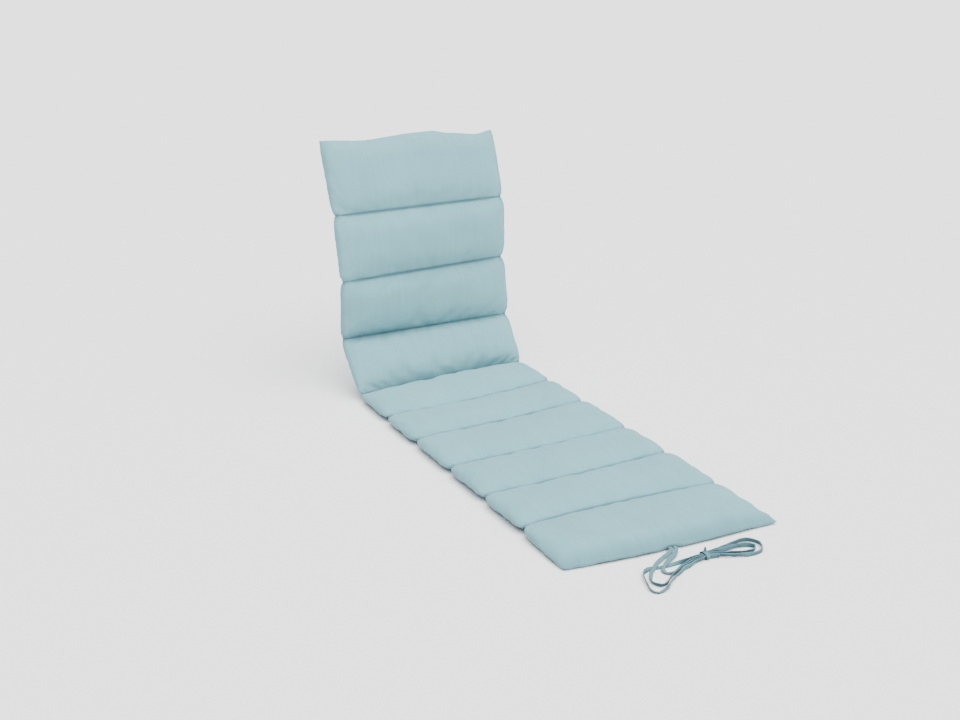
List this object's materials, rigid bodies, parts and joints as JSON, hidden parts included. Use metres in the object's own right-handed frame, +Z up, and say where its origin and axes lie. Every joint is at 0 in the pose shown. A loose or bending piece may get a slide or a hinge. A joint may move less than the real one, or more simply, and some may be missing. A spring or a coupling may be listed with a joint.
{
  "type": "sun lounger cushion",
  "caption": "Fibre-filled channel-quilted sun lounger cushion, bent as on a raised back, with a pair of cloth tying strips gathered in a hank at its foot edge.",
  "frame": {"origin": "on the floor, under the middle of the cushion's box, the ties left out of it", "axes": "+X across the cushion to its right side, +Y from the foot to the head, +Z up"},
  "size_m": [0.5772, 1.5877, 0.7456],
  "materials": {
    "cushion_cloth": "plain-woven outdoor cloth, matt with a faint sheen",
    "tie_tape": "the same cloth, folded and stitched to a flat tape"
  },
  "bodies": {
    "root": {"cushion": "cushion_cloth", "tie_lead_right": "tie_tape", "tie_lead_left": "tie_tape", "tie_hank": "tie_tape"}
  },
  "joints": []
}
